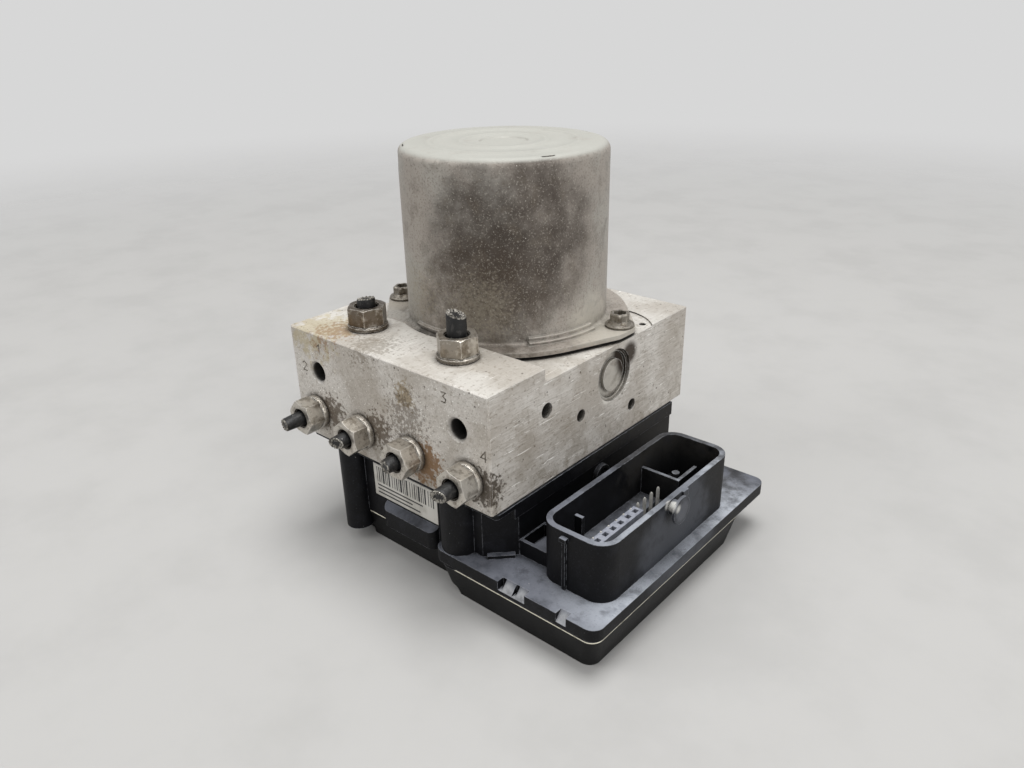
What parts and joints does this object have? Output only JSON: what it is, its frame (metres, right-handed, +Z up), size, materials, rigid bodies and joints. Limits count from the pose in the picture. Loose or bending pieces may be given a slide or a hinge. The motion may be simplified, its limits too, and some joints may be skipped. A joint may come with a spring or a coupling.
{
  "type": "abs brake module",
  "caption": "Anti-lock brake module: aluminium hydraulic block with a round pump motor on top, cut brake pipe stubs in union nuts, and a black control unit with a connector socket underneath.",
  "frame": {"origin": "under the middle of the module's box, at the level of the control unit cover's bottom", "axes": "X runs along the port face towards the connector, -Y leaves the port face, Z is up along the motor axis"},
  "size_m": [0.134, 0.1246, 0.1371],
  "materials": {
    "block_aluminium": "milled, dull",
    "motor_steel": "zinc-plated, dirty",
    "screw_steel": "zinc-plated",
    "nut_zinc": "zinc-plated, worn",
    "pipe_bright": "sheared ends bright",
    "pipe_coated": "black coating, cut ends bright",
    "plug_steel": "machined",
    "steel_inner": "machined",
    "bronze_bush": "sintered",
    "magnet_ferrite": "ferrite",
    "copper": "enamelled wire",
    "brush_plastic": "moulded",
    "rubber_seal": "matt",
    "accumulator_alloy": "turned",
    "housing_plastic": "glass-filled, dusty",
    "cover_plastic": "moulded",
    "seal_cream": "silicone",
    "board_green": "solder mask",
    "component_black": "moulded",
    "pin_tin": "tinned",
    "label_white": "printed film"
  },
  "bodies": {
    "module": {"hydraulic_block": "block_aluminium", "drilling_balls": "plug_steel", "motor_can": "motor_steel", "motor_screws": "screw_steel", "motor_seal": "rubber_seal", "motor_end_plate": "steel_inner", "motor_bearing": "steel_inner", "motor_top_bush": "bronze_bush", "motor_magnets": "magnet_ferrite", "brush_plate": "brush_plastic", "brushes": "bronze_bush", "motor_contacts": "copper", "contact_carrier": "brush_plastic", "pump_sleeves": "steel_inner", "pump_plugs": "plug_steel", "pump_spring_left": "steel_inner", "pump_spring_right": "steel_inner", "accumulator_caps": "accumulator_alloy", "accumulator_spring_left": "steel_inner", "accumulator_spring_right": "steel_inner", "inlet_valve_bodies": "steel_inner", "outlet_valve_bodies": "steel_inner", "valve_coils": "copper", "coil_yokes": "steel_inner", "wheel_port_nuts": "nut_zinc", "wheel_pipe_stubs": "pipe_bright", "master_port_nuts": "nut_zinc", "master_pipe_stubs": "pipe_coated", "ecu_housing": "housing_plastic", "ecu_cover": "cover_plastic", "cover_seal": "seal_cream", "block_gasket": "rubber_seal", "unit_screws": "screw_steel", "circuit_board": "board_green", "board_components": "component_black", "connector_pins": "pin_tin", "pin_carrier": "brush_plastic", "label_plate": "label_white"},
    "rotor": {"motor_shaft": "steel_inner", "armature_core": "steel_inner", "armature_winding": "copper", "commutator": "copper", "eccentric_bearing": "steel_inner"},
    "pump_piston_left": {"pump_piston_left": "steel_inner"},
    "pump_piston_right": {"pump_piston_right": "steel_inner"},
    "accumulator_piston_left": {"accumulator_piston_left": "accumulator_alloy"},
    "accumulator_piston_right": {"accumulator_piston_right": "accumulator_alloy"},
    "inlet_plunger_1": {"inlet_plunger_1": "steel_inner"},
    "outlet_plunger_1": {"outlet_plunger_1": "steel_inner"},
    "inlet_plunger_2": {"inlet_plunger_2": "steel_inner"},
    "outlet_plunger_2": {"outlet_plunger_2": "steel_inner"},
    "inlet_plunger_3": {"inlet_plunger_3": "steel_inner"},
    "outlet_plunger_3": {"outlet_plunger_3": "steel_inner"},
    "inlet_plunger_4": {"inlet_plunger_4": "steel_inner"},
    "outlet_plunger_4": {"outlet_plunger_4": "steel_inner"}
  },
  "joints": [
    {"name": "rotor_turn", "type": "hinge", "parent": "module", "child": "rotor", "pos_m": [-0.0213, 0.01558, 0.0983], "axis": [0, 0, 1], "continuous": true},
    {"name": "pump_piston_left_stroke", "type": "slide", "parent": "module", "child": "pump_piston_left", "axis": [-1, 0, 0], "range_m": [0, 0.002], "stiffness_N_per_m": 1000, "springref_m": -0.005, "deforming": ["pump_spring_left"]},
    {"name": "accumulator_piston_left_stroke", "type": "slide", "parent": "module", "child": "accumulator_piston_left", "axis": [0, 0, 1], "range_m": [-0.008, 0], "stiffness_N_per_m": 500, "springref_m": 0.02, "deforming": ["accumulator_spring_left"]},
    {"name": "pump_piston_right_stroke", "type": "slide", "parent": "module", "child": "pump_piston_right", "axis": [1, 0, 0], "range_m": [0, 0.002], "stiffness_N_per_m": 1000, "springref_m": -0.005, "deforming": ["pump_spring_right"]},
    {"name": "accumulator_piston_right_stroke", "type": "slide", "parent": "module", "child": "accumulator_piston_right", "axis": [0, 0, 1], "range_m": [-0.008, 0], "stiffness_N_per_m": 500, "springref_m": 0.02, "deforming": ["accumulator_spring_right"]},
    {"name": "inlet_plunger_1_lift", "type": "slide", "parent": "module", "child": "inlet_plunger_1", "axis": [0, 0, 1], "range_m": [0, 0.0003], "stiffness_N_per_m": 1000, "springref_m": -0.001},
    {"name": "outlet_plunger_1_drop", "type": "slide", "parent": "module", "child": "outlet_plunger_1", "axis": [0, 0, 1], "range_m": [-0.0003, 0], "stiffness_N_per_m": 1000, "springref_m": 0.001},
    {"name": "inlet_plunger_2_lift", "type": "slide", "parent": "module", "child": "inlet_plunger_2", "axis": [0, 0, 1], "range_m": [0, 0.0003], "stiffness_N_per_m": 1000, "springref_m": -0.001},
    {"name": "outlet_plunger_2_drop", "type": "slide", "parent": "module", "child": "outlet_plunger_2", "axis": [0, 0, 1], "range_m": [-0.0003, 0], "stiffness_N_per_m": 1000, "springref_m": 0.001},
    {"name": "inlet_plunger_3_lift", "type": "slide", "parent": "module", "child": "inlet_plunger_3", "axis": [0, 0, 1], "range_m": [0, 0.0003], "stiffness_N_per_m": 1000, "springref_m": -0.001},
    {"name": "outlet_plunger_3_drop", "type": "slide", "parent": "module", "child": "outlet_plunger_3", "axis": [0, 0, 1], "range_m": [-0.0003, 0], "stiffness_N_per_m": 1000, "springref_m": 0.001},
    {"name": "inlet_plunger_4_lift", "type": "slide", "parent": "module", "child": "inlet_plunger_4", "axis": [0, 0, 1], "range_m": [0, 0.0003], "stiffness_N_per_m": 1000, "springref_m": -0.001},
    {"name": "outlet_plunger_4_drop", "type": "slide", "parent": "module", "child": "outlet_plunger_4", "axis": [0, 0, 1], "range_m": [-0.0003, 0], "stiffness_N_per_m": 1000, "springref_m": 0.001}
  ]
}
